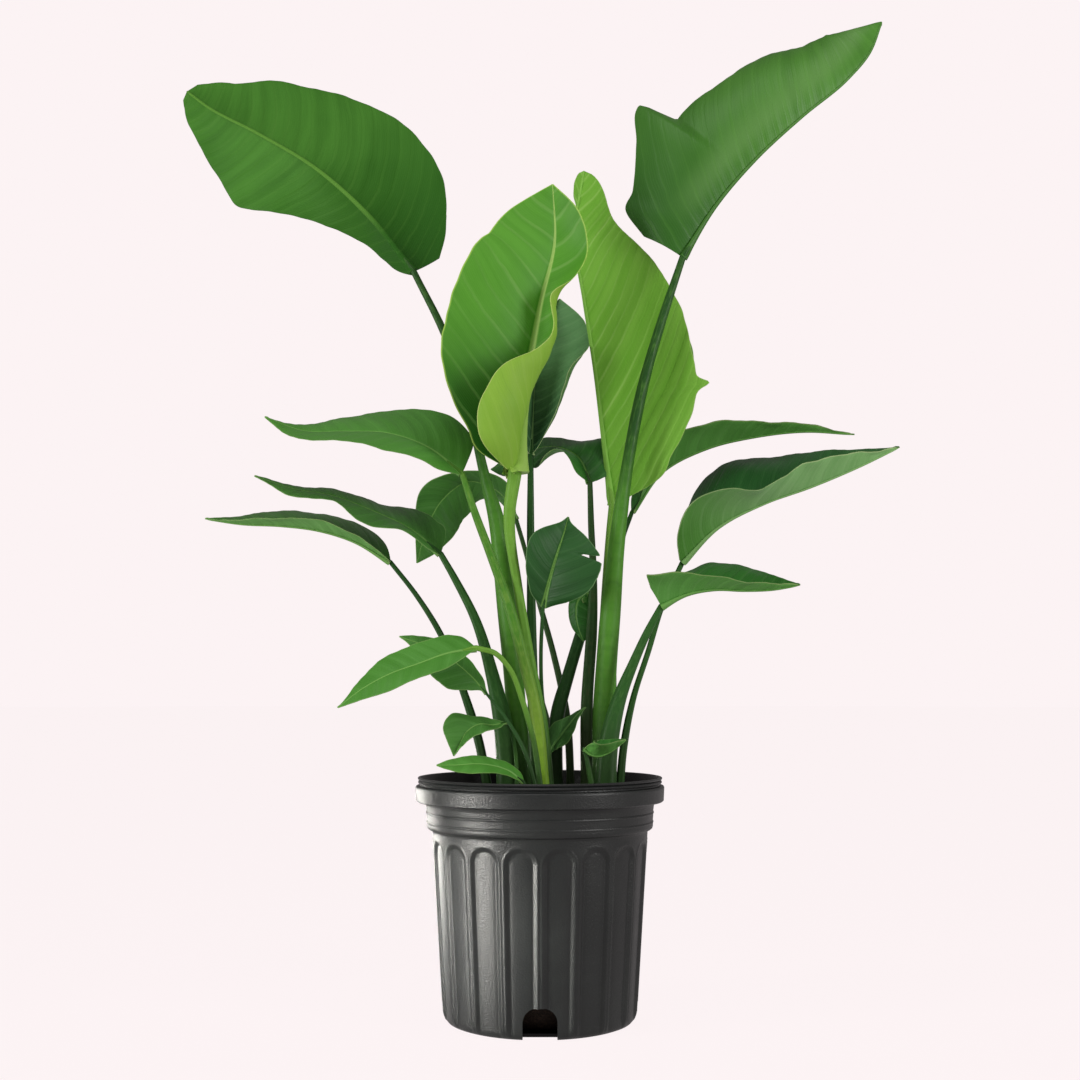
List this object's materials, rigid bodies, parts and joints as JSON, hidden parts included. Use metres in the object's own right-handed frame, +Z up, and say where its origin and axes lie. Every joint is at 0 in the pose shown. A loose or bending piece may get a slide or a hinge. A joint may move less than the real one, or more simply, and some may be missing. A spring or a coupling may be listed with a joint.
{
  "type": "potted bird of paradise plant",
  "caption": "Bushy bird of paradise houseplant with broad paddle leaves on upright stalks, growing in a black fluted nursery pot of potting mix, standing free on a floor.",
  "frame": {"origin": "the centre of the flat underside of the pot, on the plane that the pot stands on", "axes": "+Z up along the axis of the pot, +Y towards the back of the plant, +X to the right as the plant is seen from its front, which is -Y"},
  "size_m": [0.7734, 0.2868, 1.0373],
  "materials": {
    "pot": "satin black moulded plastic",
    "potting_mix": "loose dark peat and bark, matt",
    "leaf": "leathery leaf, semi-gloss above and duller below, with a pale midrib",
    "petiole": "smooth green stalk, semi-matt"
  },
  "bodies": {
    "root": {"back_centre_blade": "leaf", "back_centre_petiole": "petiole", "back_low_blade": "leaf", "back_low_petiole": "petiole", "centre_hidden_blade": "leaf", "centre_hidden_petiole": "petiole", "centre_left_blade": "leaf", "centre_left_petiole": "petiole", "centre_right_blade": "leaf", "centre_right_petiole": "petiole", "centre_small_blade": "leaf", "centre_small_petiole": "petiole", "cup_blade": "leaf", "cup_petiole": "petiole", "left_back_blade": "leaf", "left_back_petiole": "petiole", "left_mid_a_blade": "leaf", "left_mid_a_petiole": "petiole", "left_mid_b_blade": "leaf", "left_mid_b_petiole": "petiole", "left_stub_petiole": "petiole", "left_upper_blade": "leaf", "left_upper_petiole": "petiole", "low_behind_blade": "leaf", "low_behind_petiole": "petiole", "low_front_blade": "leaf", "low_front_petiole": "petiole", "low_small_blade": "leaf", "low_small_petiole": "petiole", "pot": "pot", "potting_mix": "potting_mix", "right_low_blade": "leaf", "right_low_petiole": "petiole", "right_mid_blade": "leaf", "right_mid_petiole": "petiole", "right_upper_blade": "leaf", "right_upper_petiole": "petiole", "rim_blade": "leaf", "rim_petiole": "petiole", "sprout_blade": "leaf", "sprout_petiole": "petiole", "tall_left_blade": "leaf", "tall_left_petiole": "petiole", "tall_right_blade": "leaf", "tall_right_petiole": "petiole"}
  },
  "joints": []
}
